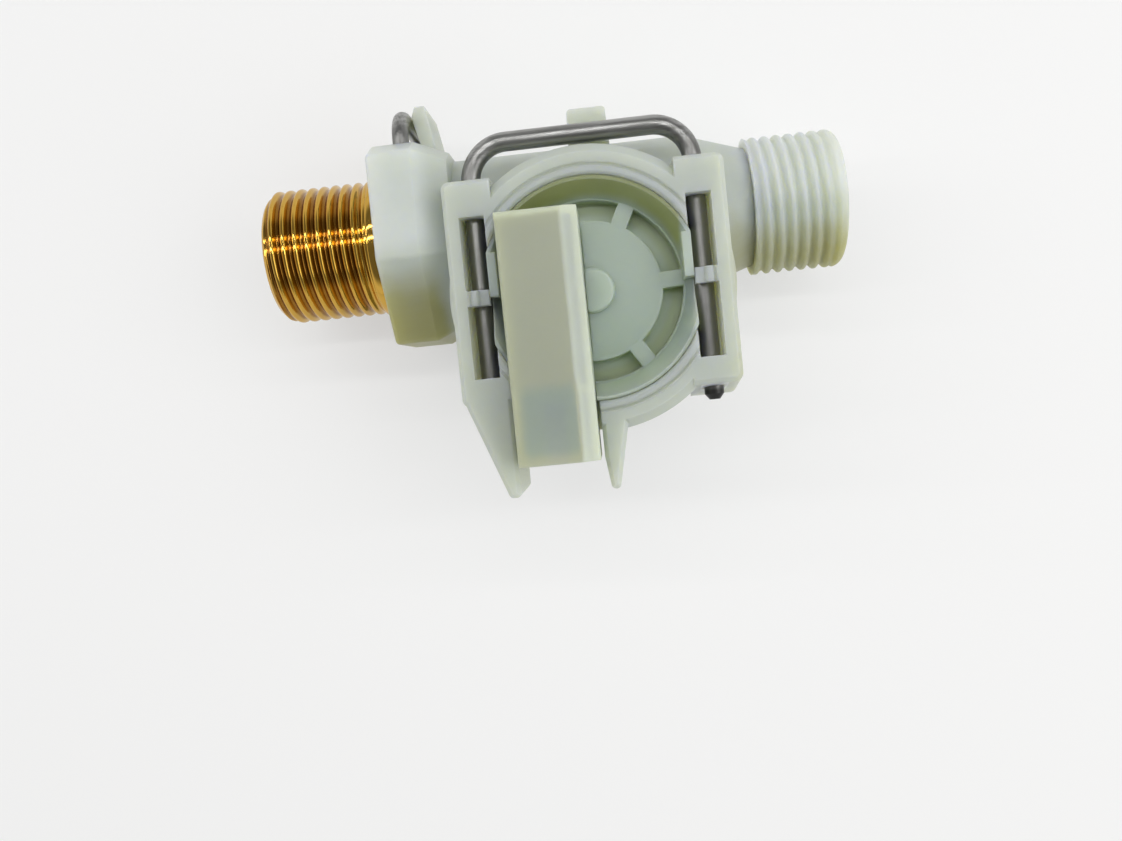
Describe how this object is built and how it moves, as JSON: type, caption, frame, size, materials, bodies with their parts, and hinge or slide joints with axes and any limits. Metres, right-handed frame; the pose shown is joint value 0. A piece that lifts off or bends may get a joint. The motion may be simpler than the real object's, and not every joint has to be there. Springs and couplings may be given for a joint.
{
  "type": "flow switch",
  "caption": "Turbine flow switch for a water heater: moulded chamber with clipped brass inlet nipple, threaded outlet, clip-held cover, magnet rotor and Hall sensor socket.",
  "frame": {"origin": "on the turbine axis, in the plane of the back of the chamber, which the part lies on", "axes": "+X along the flow, from the brass inlet to the threaded outlet; +Y towards the bridge of the cover clip, the way both clips pull out; +Z along the turbine axis, out of the covered chamber"},
  "size_m": [0.088, 0.0601, 0.038],
  "materials": {
    "natural_plastic": "natural translucent moulding",
    "seal_rubber": "smooth black rubber",
    "spring_wire": "drawn wire",
    "brass": "turned and bright",
    "filter_plastic": "white moulding",
    "rotor_plastic": "white moulding",
    "magnet": "sintered ferrite",
    "shaft_steel": "ground",
    "bearing_plastic": "dark low-friction plastic",
    "sensor_plastic": "cream moulding",
    "board": "green lacquer",
    "chip": "moulded black",
    "pin_tin": "tinned"
  },
  "bodies": {
    "housing": {"meter_body": "natural_plastic", "outlet_spigot": "natural_plastic", "chamber_cover": "natural_plastic", "cover_o_ring": "seal_rubber", "inlet_nipple": "brass", "nipple_o_ring": "seal_rubber", "inlet_filter": "filter_plastic", "flow_nozzle": "filter_plastic", "lower_bush": "bearing_plastic", "upper_bush": "bearing_plastic", "sensor_housing": "sensor_plastic", "sensor_back_plate": "sensor_plastic", "sensor_board": "board", "hall_sensor": "chip", "board_components": "chip", "connector_pins": "pin_tin"},
    "rotor": {"turbine_rotor": "rotor_plastic", "rotor_magnets": "magnet", "rotor_shaft": "shaft_steel", "lower_thrust_washer": "bearing_plastic", "upper_thrust_washer": "bearing_plastic"},
    "cover_clip": {"cover_clip": "spring_wire"},
    "nipple_clip": {"nipple_clip": "spring_wire"}
  },
  "joints": [
    {"name": "rotor_spin", "type": "hinge", "parent": "housing", "child": "rotor", "pos_m": [0, 0, 0.015], "axis": [0, 0, 1], "continuous": true},
    {"name": "cover_clip_pull", "type": "slide", "parent": "housing", "child": "cover_clip", "axis": [0, 1, 0], "range_m": [0, 0.038]},
    {"name": "nipple_clip_pull", "type": "slide", "parent": "housing", "child": "nipple_clip", "axis": [0, 1, 0], "range_m": [0, 0.031]}
  ]
}
